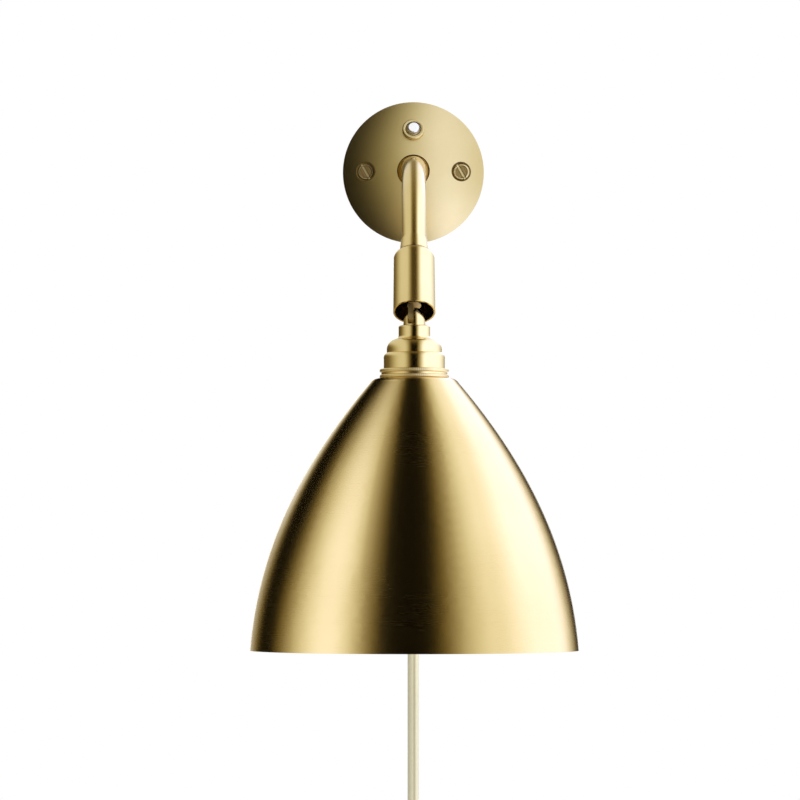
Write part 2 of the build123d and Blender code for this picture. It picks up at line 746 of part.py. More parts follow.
def make_cord():
    coil_edges = coil_path()
    coil_start = coil_edges[0] @ 0
    run = drop_last_run
    corner = coil_start - heading(coil_start_angle) * run
    drop_start = Vector(corner.X, -cord_off_wall, gland_end)
    turn = math.radians(180 - coil_start_angle)
    bend = 0.45 * run / math.tan(turn / 2)
    print(f"lead: corner at x {corner.X:.2f}, z {corner.Z:.2f}, bend radius {bend:.1f}")
    drop_line = FilletPolyline(drop_start, corner, coil_start, radius=[bend])
    section = Plane(origin=drop_start, z_dir=(0, 0, -1)) * Circle(cord_diameter / 2)
    drop = sweep(section, drop_line)
    save("cord_drop", drop)
    coil_wire = Wire(coil_edges)
    section = Plane(origin=coil_start, z_dir=heading(coil_start_angle)) * Circle(cord_diameter / 2)
    coil = sweep(section, coil_wire)
    save("cord_coil", coil)
    area = math.pi * cord_diameter**2 / 4
    print(f"drop length {drop_line.length:.1f}, volume ratio {drop.volume / drop_line.length / area:.4f}")
    print(f"coil length {coil_wire.length:.1f}, volume ratio {coil.volume / coil_wire.length / area:.4f}")
    print(f"coil least gap to itself {least_gap(coil_edges):.2f}")
    return coil_edges


def make_tie(coil_edges):
    """A band round all the turns at the top of the coil."""
    heights = []
    for edge in coil_edges:
        points = [edge @ (k / 24) for k in range(25)]
        heights += [p.Z for p in points if abs(p.X - coil_centre_x) < tie_width and p.Z > coil_centre_z]
    skin = cord_diameter / 2 + GAP
    low = min(heights) - skin
    high = max(heights) + skin
    near = -back_layer - skin
    far = -front_layer + skin
    middle = Pos(coil_centre_x, -(near + far) / 2, (low + high) / 2)
    hole = Box(tie_width + 2, far - near, high - low)
    band = Box(tie_width, far - near + 2 * tie_thickness, high - low + 2 * tie_thickness)
    band = fillet(band.edges().filter_by(Axis.X), cord_diameter / 2)
    hole = fillet(hole.edges().filter_by(Axis.X), cord_diameter / 2 - tie_thickness)
    save("cord_tie", middle * (band - hole))


def make_plug(coil_edges):
    """A flat plug with two pins, on a tapered relief that the lead enters from above."""
    end = coil_edges[-1] @ 1
    place = Pos(end.X, end.Y, end.Z)
    back = -plug_relief_length
    face = back - plug_length
    relief = Cone(plug_relief_root, plug_relief_tip, plug_relief_length, align=STANDING)
    waist_width = (plug_back_width + plug_width) / 2
    waist_thickness = (plug_back_thickness + plug_thickness) / 2
    sections = [
        Pos(0, 0, back - share * plug_length) * RectangleRounded(width, thickness, plug_rounding)
        for share, width, thickness in (
            (0, plug_back_width, plug_back_thickness),
            (0.45, waist_width, waist_thickness),
            (0.8, plug_width, plug_thickness),
            (1, plug_width, plug_thickness),
        )
    ]
    body = loft(Sketch() + sections, ruled=True) + Pos(0, 0, back) * relief
    save("plug_body", place * body)
    pin = rod(pin_radius, face - pin_length, face)
    pin = fillet(pin.edges().filter_by(GeomType.CIRCLE).sort_by(Axis.Z)[0], pin_rounding)
    pins = [place * Pos(side * pin_spacing / 2, 0, 0) * pin for side in (-1, 1)]
    save("plug_pins", Compound(children=[p.solid() for p in pins]))


make_rose()
make_cover_screws()
make_wall_plate()
make_arm_foot()
make_switch()
make_terminal_block()
make_gland()
make_clamp()
make_arm()
make_sleeve()
make_swivel()
make_fork()
make_cap()
make_rings()
make_shade()
make_holder()
make_bulb()
coil_edges = make_cord()
make_tie(coil_edges)
make_plug(coil_edges)
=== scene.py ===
import math

import bpy
import numpy as np
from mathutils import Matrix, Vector


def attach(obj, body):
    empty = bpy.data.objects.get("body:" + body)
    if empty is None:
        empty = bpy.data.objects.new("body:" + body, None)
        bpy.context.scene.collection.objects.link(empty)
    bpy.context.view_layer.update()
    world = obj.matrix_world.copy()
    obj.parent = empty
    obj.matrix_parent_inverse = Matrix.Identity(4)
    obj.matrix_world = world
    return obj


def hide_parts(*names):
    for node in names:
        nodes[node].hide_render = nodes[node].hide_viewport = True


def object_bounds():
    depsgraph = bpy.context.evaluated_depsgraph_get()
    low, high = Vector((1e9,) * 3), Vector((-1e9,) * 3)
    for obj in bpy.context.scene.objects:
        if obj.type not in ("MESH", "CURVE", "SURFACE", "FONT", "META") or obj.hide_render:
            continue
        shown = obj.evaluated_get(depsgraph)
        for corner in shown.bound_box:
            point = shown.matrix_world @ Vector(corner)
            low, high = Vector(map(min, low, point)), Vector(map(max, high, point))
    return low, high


# Brass wall light with a bell shade, in metres. The wall is y = 0, the room is
# towards -Y and +Z is up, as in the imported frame.
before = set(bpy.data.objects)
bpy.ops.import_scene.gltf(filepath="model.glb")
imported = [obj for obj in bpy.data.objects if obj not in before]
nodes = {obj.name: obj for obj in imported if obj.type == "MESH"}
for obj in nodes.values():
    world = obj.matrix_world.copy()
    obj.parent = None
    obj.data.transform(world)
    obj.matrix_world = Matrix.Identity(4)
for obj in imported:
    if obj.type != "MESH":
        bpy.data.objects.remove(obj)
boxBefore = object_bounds()


# A number inside a shader. Plain Python arithmetic on it adds Math nodes.
class Number:
    def __init__(self, shader, socket):
        self.shader = shader
        self.socket = socket

    def math(self, operation, *others):
        return self.shader.math(operation, self, *others)

    def __add__(self, other):
        return self.math("ADD", other)

    __radd__ = __add__

    def __mul__(self, other):
        return self.math("MULTIPLY", other)

    __rmul__ = __mul__

    def __sub__(self, other):
        return self.math("SUBTRACT", other)

    def __rsub__(self, other):
        return self.shader.math("SUBTRACT", other, self)

    def __truediv__(self, other):
        return self.math("DIVIDE", other)

    def __neg__(self):
        return self.math("MULTIPLY", -1)

    def __pow__(self, other):
        return self.math("POWER", other)

    def size(self):
        return self.math("ABSOLUTE")

    def atLeast(self, other):
        return self.math("MAXIMUM", other)

    # 0 below low, 1 above high, and an S curve between them; high may be the lower one
    def ease(self, low, high):
        wanted = {"Value": self, "From Min": low, "From Max": high}
        return self.shader.add("ShaderNodeMapRange", {"interpolation_type": "SMOOTHSTEP"}, wanted)


# The node tree of one material or of the world.
class Shader:
    def __init__(self, owner):
        owner.use_nodes = True
        self.owner = owner
        self.tree = owner.node_tree
        self.tree.nodes.clear()

    # Every node comes from here: its settings first, then values or links for its sockets.
    def node(self, kind, settings=None, inputs=None):
        node = self.tree.nodes.new(kind)
        for name, value in (settings or {}).items():
            if name == "stops":
                self.setStops(node.color_ramp, value)
            else:
                setattr(node, name, value)
        for name, value in (inputs or {}).items():
            socket = node.inputs[name]
            if isinstance(value, Number):
                self.tree.links.new(value.socket, socket)
            else:
                socket.default_value = (*value, 1) if socket.type == "RGBA" else value
        return node

    def setStops(self, ramp, stops):
        while len(ramp.elements) < len(stops):
            ramp.elements.new(0.5)
        for element, (place, colour) in zip(ramp.elements, stops):
            element.position = place
            element.color = (*colour, 1)

    def add(self, kind, settings=None, inputs=None, output=0):
        return Number(self, self.node(kind, settings, inputs).outputs[output])

    def math(self, operation, *values):
        return self.add("ShaderNodeMath", {"operation": operation}, dict(enumerate(values)))

    def end(self, kind, surface):
        self.node(kind, None, {"Surface": surface})

    # The place on the piece, turned and moved so that a lathe axis can lie on Z.
    def place(self, origin=(0, 0, 0), tilt=0.0):
        spot = self.add("ShaderNodeTexCoord", output="Object")
        if origin == (0, 0, 0) and tilt == 0:
            return spot
        moved = self.add("ShaderNodeVectorMath", {"operation": "SUBTRACT"}, {0: spot, 1: origin})
        return self.turn(moved, "X_AXIS", tilt)

    def turn(self, vector, axis, angle):
        wanted = {"Vector": vector, "Angle": angle}
        return self.add("ShaderNodeVectorRotate", {"rotation_type": axis}, wanted)

    def parts(self, vector):
        node = self.node("ShaderNodeSeparateXYZ", None, {0: vector})
        return [Number(self, node.outputs[axis]) for axis in range(3)]

    def noise(self, vector, scale, detail=3.0, roughness=0.5, stretch=None):
        if stretch:
            vector = self.add("ShaderNodeVectorMath", {"operation": "MULTIPLY"}, {0: vector, 1: stretch})
        wanted = {"Vector": vector, "Scale": scale, "Detail": detail, "Roughness": roughness}
        return self.add("ShaderNodeTexNoise", None, wanted)

    # Sockets 6 and 7 of a Mix node are its two colours, and output 2 is their mixture.
    def mix(self, share, first, second):
        return self.add("ShaderNodeMix", {"data_type": "RGBA"}, {0: share, 6: first, 7: second}, output=2)

    def bump(self, height, distance):
        return self.add("ShaderNodeBump", None, {"Height": height, "Distance": distance, "Strength": 1.0})


def newMaterial(name):
    return Shader(bpy.data.materials.new(name))


# Gives nodes and new pieces their material.
def dress(shader, *pieces):
    for piece in pieces:
        mesh = nodes[piece].data if isinstance(piece, str) else piece.data
        mesh.materials.clear()
        mesh.materials.append(shader.owner)


# The usual end of a material: one Principled surface.
def finish(shader, inputs):
    shader.end("ShaderNodeOutputMaterial", shader.add("ShaderNodeBsdfPrincipled", None, inputs))
    return shader


# A skin over rows of points, each row a closed loop. Its ends are closed with a fan to
# the middle of the first and last row, or a ring's last row meets its first. Its faces
# are turned outwards.
def skin(name, rows, ends=(True, True), ring=False, sharp=35):
    count, around = rows.shape[:2]
    start = np.arange(count if ring else count - 1)[:, None] * around
    following = (start + around) % (count * around)
    column = np.arange(around)[None, :]
    after = (column + 1) % around
    quads = np.stack([start + column, start + after, following + after, following + column], axis=2)
    quads = quads.reshape(-1, 4)
    points = rows.reshape(-1, 3)
    a, b, c, d = (points[quads[:, k]] for k in range(4))
    volume = (a * (np.cross(b, c) + np.cross(c, d))).sum()
    faces = quads.tolist()
    fans = ((0, after[0], column[0], ends[0]), (count - 1, column[0], after[0], ends[1]))
    for row, one, other, closed in fans:
        if closed and not ring:
            corners = [np.full(around, len(points)), row * around + one, row * around + other]
            faces += np.stack(corners, axis=1).tolist()
            points = np.vstack([points, rows[row].mean(axis=0)])
    mesh = bpy.data.meshes.new(name)
    mesh.from_pydata(points.tolist(), [], faces)
    if volume < 0:
        mesh.flip_normals()
    mesh.polygons.foreach_set("use_smooth", [True] * len(mesh.polygons))
    mesh.set_sharp_from_angle(angle=math.radians(sharp))
    piece = bpy.data.objects.new(name, mesh)
    bpy.context.collection.objects.link(piece)
    return piece


# Camera: level, square to the wall, a little left of the rose's middle.
cameraAt = dict(place=(-0.007, -1.95, -0.1194), focalPixels=3711, framePixels=800, nearest=0.05)


def makeCamera():
    data = bpy.data.cameras.new("camera")
    data.sensor_width = 36
    data.lens = cameraAt["focalPixels"] / cameraAt["framePixels"] * data.sensor_width
    data.clip_start = cameraAt["nearest"]
    camera = bpy.data.objects.new("camera", data)
    camera.location = cameraAt["place"]
    camera.rotation_euler = (math.radians(90), 0, 0)
    bpy.context.collection.objects.link(camera)
    bpy.context.scene.camera = camera
    bpy.context.scene.view_settings.view_transform = "Standard"


makeCamera()
print("camera set")

# Lead: straight down from the gland, then wound into a flat coil. Its last run before
# the coil slants.
lead = dict(
    diameter=0.006, gland=(0, -0.005, -0.064), lastRun=0.031, coilHeight=-0.404,
    outerRadius=0.0473, pitch=0.0066, startAngle=135, halfTurnsIn=7, halfTurnsOut=6,
    endStraight=0.012, pointsPerTurn=16, length=1.938, roundness=8, smoothness=6,
)
halfTurn = 180


# Where an angle lies on the wall, seen from the room: (cos a, sin a).
def onWall(degrees):
    return np.array([math.cos(math.radians(degrees)), math.sin(math.radians(degrees))])


# The coil's centre, and both ends of the slanting run: its corner on the gland's plumb
# line, and its end one diameter before the first turn, along that turn's own direction.
def slantEnds():
    start = onWall(lead["startAngle"])
    forward = np.array([-start[1], start[0]])
    centre = np.array([lead["gland"][0], lead["coilHeight"]])
    centre[0] -= (lead["outerRadius"] * start - (lead["diameter"] + lead["lastRun"]) * forward)[0]
    slantEnd = centre + lead["outerRadius"] * start - lead["diameter"] * forward
    return centre, slantEnd - lead["lastRun"] * forward, slantEnd


# Points of the coil's turns: each half turn is a circle of its own, a half pitch
# smaller or larger than the last, and one half turn climbs to the front layer.
def coilPoints(centre):
    perHalf = lead["pointsPerTurn"] // 2
    grow = 1 / math.cos(math.pi / lead["pointsPerTurn"])  # so that the curve touches the circle
    step = lead["pitch"] / 2
    back = lead["gland"][1]
    front = back - lead["pitch"]
    radius = lead["outerRadius"]
    angle = lead["startAngle"]
    points = []

    def wind(degrees, depthFrom, depthTo):
        turns = (np.arange(round(perHalf * degrees / halfTurn)) + 0.5) / perHalf * halfTurn
        alpha = np.radians(angle + turns)
        depth = depthFrom + (depthTo - depthFrom) * smooth(turns, 0, halfTurn)
        across = centre[0] + radius * grow * np.cos(alpha)
        up = centre[1] + radius * grow * np.sin(alpha)
        points.extend(np.stack([across, depth, up], axis=1).tolist())

    for _ in range(lead["halfTurnsIn"]):
        wind(halfTurn, back, back)
        angle += halfTurn
        centre = centre + step * onWall(angle)
        radius -= step
    wind(halfTurn, back, front)
    angle += halfTurn
    for _ in range(lead["halfTurnsOut"]):
        radius += step
        centre = centre - step * onWall(angle)
        wind(halfTurn, front, front)
        angle += halfTurn
    radius += step
    centre = centre - step * onWall(angle)
    wind((halfTurn - angle) % (2 * halfTurn), front, front)
    for share in (0.5, 1):
        points.append([centre[0] - radius, front, centre[1] - lead["endStraight"] * share])
    return points


# The whole route: plumb from the gland, the slanting run, the coil and a straight end.
def leadPoints():
    x, y, z = lead["gland"]
    centre, corner, slantEnd = slantEnds()
    beforeCorner = [x, y, corner[1] + lead["lastRun"]]
    return [[x, y, z], beforeCorner, [x, y, corner[1]], [slantEnd[0], y, slantEnd[1]]] + coilPoints(centre)


# Carries points from the shade's axis into the room: a turn about X, then the pivot.
def onShade(points):
    c, s = math.cos(shadeAxis["tilt"]), math.sin(shadeAxis["tilt"])
    x, y, z = points[..., 0], points[..., 1], points[..., 2]
    return np.stack([x, y * c + z * s, z * c - y * s], axis=-1) + np.array(shadeAxis["origin"])


# Points of a turned form: (r cos a, r sin a, z), with r from the profile less wave(a, z).
def turnedRows(profile, around, wave=None):
    radius, height = np.asarray(profile, float).T
    angle = np.linspace(0, 2 * math.pi, around, endpoint=False)[None, :]
    r = np.repeat(radius[:, None], around, axis=1)
    z = np.repeat(height[:, None], around, axis=1)
    if wave:
        r = r - wave(angle, z)
    return np.stack([r * np.cos(angle), r * np.sin(angle), z], axis=2)


# Short steps of at most the given length between the corners of a profile.
def fineProfile(corners, step):
    stretches = [np.array(corners[:1])]
    for a, b in zip(corners, corners[1:]):
        count = max(1, math.ceil(math.dist(a, b) / step))
        share = np.arange(1, count + 1)[:, None] / count
        stretches.append(np.array(a) + np.subtract(b, a) * share)
    return np.vstack(stretches)


# 0 below low, 1 above high, and an S curve between them.
def smooth(value, low, high):
    t = np.clip((value - low) / (high - low), 0, 1)
    return t * t * (3 - 2 * t)


# The shade and the joint sleeve each have a lathe axis through the tilt pivot, leaning
# from plumb. Heights on an axis are measured from the pivot.
tiltPivot = (0, -0.136, -0.079)
shadeAxis = dict(origin=tiltPivot, tilt=math.radians(2.6))
sleeveAxis = dict(origin=tiltPivot, tilt=math.radians(32.8))

# Lampholder: a moulded body with a coarse outer thread that the shade rings run on.
# r = crest - depth (1 - cos(2 pi z / pitch - a)) / 2, fading out at both ends.
holder = dict(
    top=-0.0135, neck=0.0095, neckEnd=-0.020, crest=0.0136, threadEnd=-0.051, runOut=0.001,
    skirt=0.0126, bottom=-0.061, chamfer=0.0006, bore=0.0086, boreChamfer=0.0005, floor=-0.036,
    middle=0.0015, pitch=0.0022, depth=0.00065, fadeBelow=(0.0004, 0.002), fadeAbove=(-0.0006, 0.001),
    step=0.00028, around=72,
)


def makeHolder():
    h = holder
    outside = [
        (h["middle"], h["top"]), (h["neck"], h["top"]), (h["crest"], h["neckEnd"]),
        (h["crest"], h["threadEnd"]), (h["skirt"], h["threadEnd"] - h["runOut"]),
        (h["skirt"], h["bottom"] + h["chamfer"]), (h["skirt"] - h["chamfer"], h["bottom"]),
    ]
    inside = [
        (h["bore"] + h["boreChamfer"], h["bottom"]), (h["bore"], h["bottom"] + h["boreChamfer"]),
        (h["bore"], h["floor"]), (h["middle"], h["floor"]),
    ]
    profile = fineProfile(outside + inside, h["step"])
    isOutside = np.arange(len(profile))[:, None] < len(fineProfile(outside, h["step"])) - 1

    def thread(angle, z):
        turn = 2 * math.pi * z / h["pitch"] - angle
        on = smooth(z - h["threadEnd"], *h["fadeBelow"]) * smooth(h["neckEnd"] - z, *h["fadeAbove"])
        return h["depth"] * (1 - np.cos(turn)) / 2 * on * isOutside

    piece = skin("lampholderThread", onShade(turnedRows(profile, h["around"], thread)))
    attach(piece, "shade_unit")
    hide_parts("lampholder")
    return piece


holderPiece = makeHolder()

# Gland: a tapered strain relief, with rings cut into its lower part so that it bends.
# r = outer - depth, in each cut, where cuts come at every pitch.
gland = dict(
    top=-0.01783, straightEnd=-0.038, root=0.0044, tip=0.0035, middle=0.001, topChamfer=0.0004,
    tipChamfer=(0.0005, 0.0006), firstCut=-0.0425, cutPitch=0.0031, cutDepth=0.0008,
    cutEdge=(0.16, 0.27), cuts=6, step=0.0002, around=48,
)


def makeGland():
    g = gland
    x, y, end = lead["gland"]
    inward, upward = g["tipChamfer"]
    corners = [
        (g["middle"], g["top"]), (g["root"] - g["topChamfer"], g["top"]),
        (g["root"], g["top"] - g["topChamfer"]), (g["root"], g["straightEnd"]),
        (g["tip"], end + upward), (g["tip"] - inward, end), (g["middle"], end),
    ]

    def cut(angle, z):
        place = (g["firstCut"] - z) / g["cutPitch"]
        inside = (place > -0.5) & (place < g["cuts"] - 0.5)
        nearness = np.abs(place - np.round(place))
        return g["cutDepth"] * inside * (1 - smooth(nearness, *g["cutEdge"]))

    rows = turnedRows(fineProfile(corners, g["step"]), g["around"], cut) + np.array([x, y, 0])
    piece = skin("glandRibs", rows)
    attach(piece, "wall_unit")
    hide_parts("cord_gland")
    return piece


glandPiece = makeGland()

# Collar: the turned ring that closes the rose's hole round the arm, with a coned face.
# Heights are above the wall.
collar = dict(
    inner=0.00625, outer=0.00835, back=0.0104, shoulder=0.0150, face=0.0168, rounding=0.0005,
    bevel=0.00015, seam=0.0002, step=0.0004, around=96,
)


def makeCollar():
    c = collar
    corners = [
        (c["inner"], c["back"]), (c["outer"], c["back"]), (c["outer"], c["shoulder"] - c["rounding"]),
        (c["outer"] - c["bevel"], c["shoulder"]), (c["inner"] + c["rounding"], c["face"]),
        (c["inner"], c["face"] - c["rounding"]), (c["inner"], c["back"] + c["seam"]),
    ]
    rows = turnedRows(fineProfile(corners, c["step"]), c["around"])
    rows = np.stack([rows[..., 0], -rows[..., 2], rows[..., 1]], axis=-1)  # its axis on Y
    piece = skin("armCollar", rows, ring=True)
    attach(piece, "wall_unit")
    return piece


collarPiece = makeCollar()

# Plug: round relief with rings, swelling into a flat body with a grip on each side.
# A row is a superellipse: |x / a|^n + |y / b|^n = 1, with a, b and n functions of the
# depth below the lead's end. Swell, square and grip are shares of the body's length.
plug = dict(
    relief=0.026, body=0.034, tip=0.0033, root=0.0046, halfWidth=0.0175, halfDepth=0.00685,
    neckWidth=0.00575, neckDepth=0.0054, neck=(-0.003, 0.002), swell=(-0.1, 0.82),
    squareness=3.4, square=(0, 0.6), rounding=0.0012, inset=0.0008,
    ridges=5, ridgePitch=0.0024, ridge=0.00035, grip=0.62, gripEdge=(0.42, 0.62),
    ringPitch=0.0034, ringDepth=0.0006, firstRing=(0.003, 0.005), lastRing=(-0.006, -0.004),
    ringEdge=(0.12, 0.24), step=0.00028, roundingRows=8, around=96, sharp=50,
)


def makePlug():
    p = plug
    x, y, z = leadPoints()[-1]
    end = p["relief"] + p["body"]
    edge = end - p["rounding"]
    depth = np.concatenate([np.arange(0, edge, p["step"]), np.linspace(edge, end, p["roundingRows"])])
    bodyShare = np.clip((depth - p["relief"]) / p["body"], 0, 1)
    sleeve = p["tip"] + (p["root"] - p["tip"]) * np.clip(depth / p["relief"], 0, 1)
    ringOn = smooth(depth, *p["firstRing"]) * (1 - smooth(depth - p["relief"], *p["lastRing"]))
    ringPhase = np.abs((depth / p["ringPitch"]) % 1 - 0.5)
    sleeve = sleeve - p["ringDepth"] * ringOn * (1 - smooth(ringPhase, *p["ringEdge"]))
    neck = smooth(depth - p["relief"], *p["neck"])
    swell = smooth(bodyShare, *p["swell"]) * (bodyShare > 0)
    inset = p["inset"] * smooth(depth, edge, end) ** 2

    def half(neckSize, bodySize):
        return sleeve + (neckSize - sleeve) * neck + (bodySize - neckSize) * swell - inset

    halfWidth = half(p["neckWidth"], p["halfWidth"])
    halfDepth = half(p["neckDepth"], p["halfDepth"])
    power = 2 / (2 + (p["squareness"] - 2) * smooth(bodyShare, *p["square"]))[:, None]
    angle = np.linspace(0, 2 * math.pi, p["around"], endpoint=False)[None, :]
    across = np.sign(np.cos(angle)) * np.abs(np.cos(angle)) ** power
    through = np.sign(np.sin(angle)) * np.abs(np.sin(angle)) ** power
    fromGrip = depth - p["relief"] - p["grip"] * p["body"]
    gripHalf = p["ridges"] * p["ridgePitch"] / 2
    dip = p["ridge"] * (1 - np.cos(2 * math.pi * (fromGrip + gripHalf) / p["ridgePitch"])) / 2
    dip = (dip * (np.abs(fromGrip) < gripHalf))[:, None] * (1 - smooth(np.abs(across), *p["gripEdge"]))
    rows = np.stack([
        x + halfWidth[:, None] * across, y + (halfDepth[:, None] - dip) * through,
        z - np.repeat(depth[:, None], p["around"], axis=1),
    ], axis=2)
    piece = skin("plugShell", rows, sharp=p["sharp"])
    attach(piece, "wall_unit")
    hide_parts("plug_body")
    return piece


plugPiece = makePlug()
print("pieces:", holderPiece.name, glandPiece.name, collarPiece.name, plugPiece.name)


# The lead's curve: its points' radius is the lead's own, so that its box is true too.
def makeLead():
    points = leadPoints()
    curve = bpy.data.curves.new("lead", "CURVE")
    curve.dimensions = "3D"
    curve.bevel_depth = 1.0
    curve.bevel_resolution = lead["roundness"]
    curve.use_fill_caps = True
    curve.resolution_u = lead["smoothness"]
    spline = curve.splines.new("NURBS")
    spline.points.add(len(points) - 1)
    spline.points.foreach_set("co", [value for point in points for value in (*point, 1)])
    spline.points.foreach_set("radius", [lead["diameter"] / 2] * len(points))
    spline.order_u = 3
    spline.use_endpoint_u = True
    piece = bpy.data.objects.new("lead", curve)
    bpy.context.collection.objects.link(piece)
    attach(piece, "wall_unit")
    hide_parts("cord_drop", "cord_coil")
    return piece


leadPiece = makeLead()
print("lead:", len(leadPiece.data.splines[0].points), "points")

# Brass: pale where it is rubbed, deeper between; the rose is blasted and looks paler.
brass = dict(
    pale=(0.85, 0.65, 0.275), deep=(0.80, 0.60, 0.235), rosePale=(0.84, 0.68, 0.34),
    # The two darkest browns here are painted shade, for bores, hidden pieces, the screws and their
    # recesses.
    roseDeep=(0.79, 0.62, 0.29), paintedShade=(0.10, 0.055, 0.018), recess=(0.28, 0.18, 0.055),
    filed=(0.52, 0.38, 0.16), filedDeep=(0.26, 0.17, 0.06),
)
# The noise at which one patch of tone gives way to the next.
patchEdge = (0.3, 0.7)


# Place on a lathe axis: the spot itself, its x, y and height, and its radius.
def latheParts(shader, origin, tilt):
    spot = shader.place(origin, tilt)
    x, y, z = shader.parts(spot)
    return spot, x, y, z, (x * x + y * y) ** 0.5


# Turned finishes. Brushed is how far a light is drawn out; streaks and drift are scales.
spunBrass = dict(roughness=0.27, brushed=0.8, streaks=5200, drift=24, relief=5e-7)
capBrass = dict(roughness=0.18, brushed=0.55, streaks=7000, drift=60, relief=1.5e-6)
# Arcs: their squeeze round the axis, how a flat face spreads them, how much broader the
# broad ones are, and how the arcs and the patches show in tone, gloss and relief.
arc = dict(
    squeeze=0.006, onFace=0.6, broader=14, brushedWay=0.25, patchTone=0.5, fineTone=0.25,
    broadTone=0.2, fineGloss=0.012, broadGloss=0.01, patchGloss=0.03, relief=0.6,
)


# Fine arcs left by the cloth or the tool: noise squeezed along the axis, drawn out round it.
def arcs(shader, x, y, along, scale):
    wanted = {"X": x * arc["squeeze"], "Y": y * arc["squeeze"], "Z": along}
    return shader.noise(shader.add("ShaderNodeCombineXYZ", None, wanted), scale, detail=2.0, roughness=0.55)


# Spun or turned brass, with the arcs in its tone, its gloss and its relief.
def turnedBrass(name, look, origin, tilt, dull=0.0):
    shader = newMaterial(name)
    spot, x, y, z, across = latheParts(shader, origin, tilt)
    along = z + across * arc["onFace"]
    fine = arcs(shader, x, y, along, look["streaks"])
    broad = arcs(shader, x, y, along, look["streaks"] / arc["broader"])
    cloud = shader.noise(spot, look["drift"])
    worn = cloud.ease(*patchEdge) * arc["patchTone"] + fine * arc["fineTone"] + broad * arc["broadTone"]
    rough = look["roughness"] + dull + (fine - 0.5) * arc["fineGloss"] + (broad - 0.5) * arc["broadGloss"]
    return finish(shader, {
        "Base Color": shader.mix(worn, brass["pale"], brass["deep"]), "Metallic": 1.0,
        "Roughness": rough + (cloud - 0.5) * arc["patchGloss"], "Anisotropic": look["brushed"],
        "Anisotropic Rotation": arc["brushedWay"],
        "Normal": shader.bump(fine * arc["relief"] + broad * arc["relief"], look["relief"]),
    })


# Knurled rings. The edge is how far inside a ring's outer radius its knurl starts and is full.
knurl = dict(
    edge=(0.0004, 0.0001), depth=0.00008, grain=3500, drift=90, patchTone=0.6, paintedGrooveShade=0.4,
    roughness=0.26, grainGloss=0.08, rimGloss=0.05, grainRelief=0.02,
)


# A ring with a straight knurl on its rim: relief sin(count a), only near its outer radius.
def knurledBrass(name, rim, count):
    k = knurl
    shader = newMaterial(name)
    spot, x, y, _, across = latheParts(shader, **shadeAxis)
    ridges = (y.math("ARCTAN2", x) * count).math("SINE") * 0.5 + 0.5
    onRim = across.ease(*(rim - inward for inward in k["edge"]))
    fine = shader.noise(spot, k["grain"], detail=2.0)
    cloud = shader.noise(spot, k["drift"], detail=2.0)
    # Painted shade: the knurl's grooves are darker.
    worn = cloud * k["patchTone"] + onRim * (1 - ridges) * k["paintedGrooveShade"]
    return finish(shader, {
        "Base Color": shader.mix(worn, brass["pale"], brass["deep"]), "Metallic": 1.0,
        "Roughness": k["roughness"] + (fine - 0.5) * k["grainGloss"] + onRim * k["rimGloss"],
        "Normal": shader.bump(ridges * onRim + fine * k["grainRelief"], k["depth"]),
    })


# Drawn tube, polished by hand. Where no cloth reaches, the bore, it is dull, and painted shade colours it
# dark brown.
tubeBrass = dict(roughness=0.18, grain=2600, drift=50, relief=1.2e-6)
drawn = dict(
    patchTone=0.6, grainTone=0.25, grainGloss=0.07, patchGloss=0.05, boreEdge=0.0002, boreDull=0.25,
)
# The whole piece takes the painted shade of a bore.
allPaintedShade = 1  # a bore wider than the piece


# An even satin with a faint drift, and painted shade, a dark brown, within boreRadius of a lathe axis.
def drawnBrass(name, look, boreRadius=0.0, origin=(0, 0, 0), tilt=0.0):
    shader = newMaterial(name)
    spot = shader.place(origin, tilt)
    fine = shader.noise(spot, look["grain"], roughness=0.6)
    cloud = shader.noise(spot, look["drift"])
    worn = cloud.ease(*patchEdge) * drawn["patchTone"] + fine * drawn["grainTone"]
    tone = shader.mix(worn, brass["pale"], brass["deep"])
    rough = look["roughness"] + (fine - 0.5) * drawn["grainGloss"] + (cloud - 0.5) * drawn["patchGloss"]
    if boreRadius:
        x, y, _ = shader.parts(spot)
        # Painted shade inside the bore.
        inside = ((x * x + y * y) ** 0.5).ease(boreRadius, boreRadius - drawn["boreEdge"])
        tone = shader.mix(inside, tone, brass["paintedShade"])
        rough = rough + inside * drawn["boreDull"]
    relief = shader.bump(fine, look["relief"])
    return finish(shader, {"Base Color": tone, "Metallic": 1.0, "Roughness": rough, "Normal": relief})


# Cover screws, each beside the rose's middle, in a round recess, their slots turned from
# plumb. Edges are where a feature starts and is full, outside or inside its size.
screws = dict(
    offset=0.025, recess=0.0051, recessEdge=(0.0002, -0.0001), dish=0.0030, rimWidth=0.0005,
    slot=0.0006, slotTurn=math.radians(30), slotEdge=(0.00005, -0.00015), slotShadeEdge=(0.00035, 0.0001),
    lines=2600, alongSlot=(1, 0.2, 0.04), lineEdge=(0.35, 0.65), lineTone=0.8, rimTone=0.8,
    leftShade=0.55, leftShadeSide=(0.001, -0.001), slotShadeTone=0.85, roughness=0.32, lineGloss=0.2,
    rimRelief=0.9, lineRelief=0.12, depth=0.00035,
)
roseBrass = dict(roughness=0.40, grain=5600, drift=40, relief=2.5e-6)
blasted = dict(patchTone=0.5, grainTone=0.3, grainGloss=0.10)


# A mask that is full inside a size and fades over an edge round it.
def within(number, size, edge):
    return number.ease(size + edge[0], size + edge[1])


